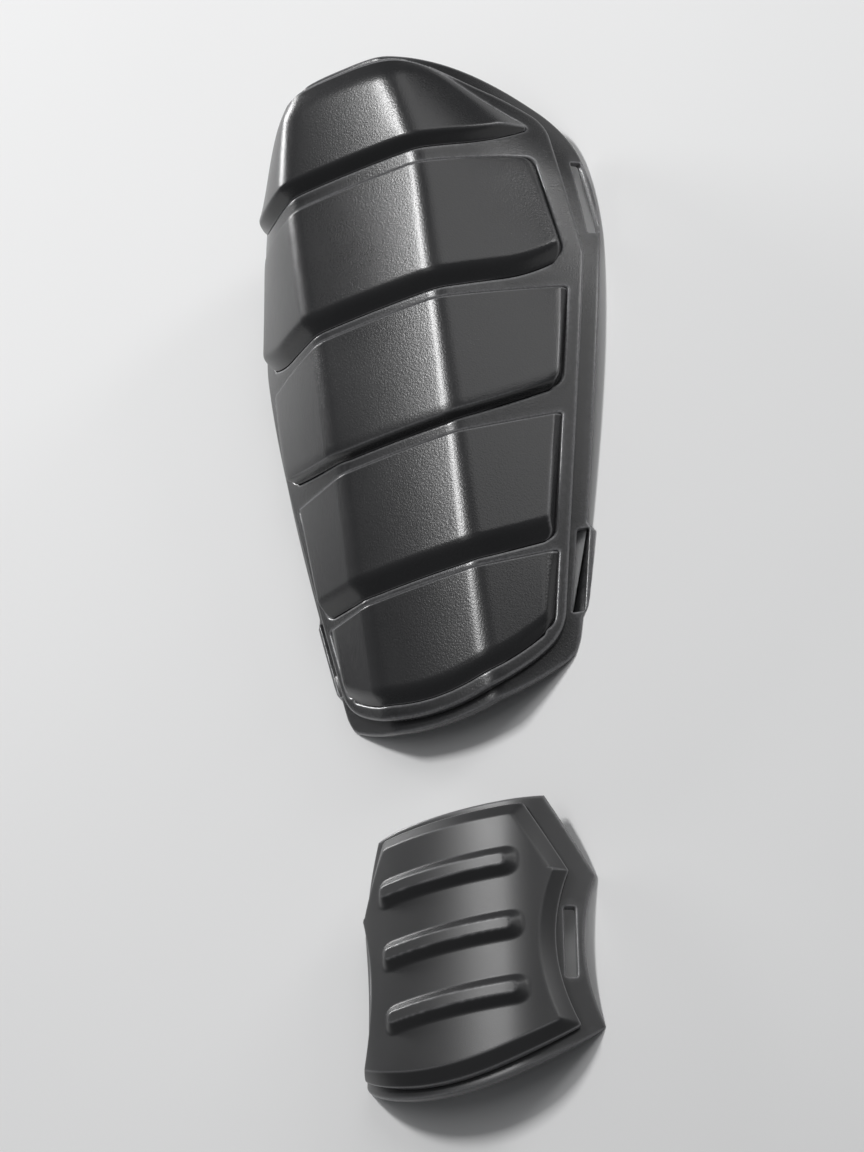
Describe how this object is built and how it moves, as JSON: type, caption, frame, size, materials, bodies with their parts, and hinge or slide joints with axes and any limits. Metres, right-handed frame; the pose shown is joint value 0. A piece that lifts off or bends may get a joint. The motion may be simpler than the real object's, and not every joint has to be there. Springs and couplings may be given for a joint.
{
  "type": "armour gauntlet",
  "caption": "Rigid forearm guard of five overlapping lames nested in one raised frame on a curved shell, with a separate ribbed hand guard.",
  "frame": {"origin": "bottom centre of the box round both guards, on the surface that they lie on", "axes": "+Y along the arm towards the elbow, +Z away from the arm, +X to the right seen from outside"},
  "size_m": [0.1362, 0.375, 0.0577],
  "materials": {
    "forearm_plastic": "satin moulded plastic with a fine pebble grain, charcoal",
    "hand_plastic": "satin moulded plastic with a very fine grain, charcoal",
    "screw_metal": "zinc plated"
  },
  "bodies": {
    "root": {"forearm_base": "forearm_plastic", "forearm_frame": "forearm_plastic", "elbow_lame": "forearm_plastic", "upper_lame": "forearm_plastic", "middle_lame": "forearm_plastic", "lower_lame": "forearm_plastic", "wrist_lame": "forearm_plastic", "lame_screws": "screw_metal", "frame_screws": "screw_metal", "hand_base": "hand_plastic", "hand_plate": "hand_plastic", "hand_screws": "screw_metal"}
  },
  "joints": []
}
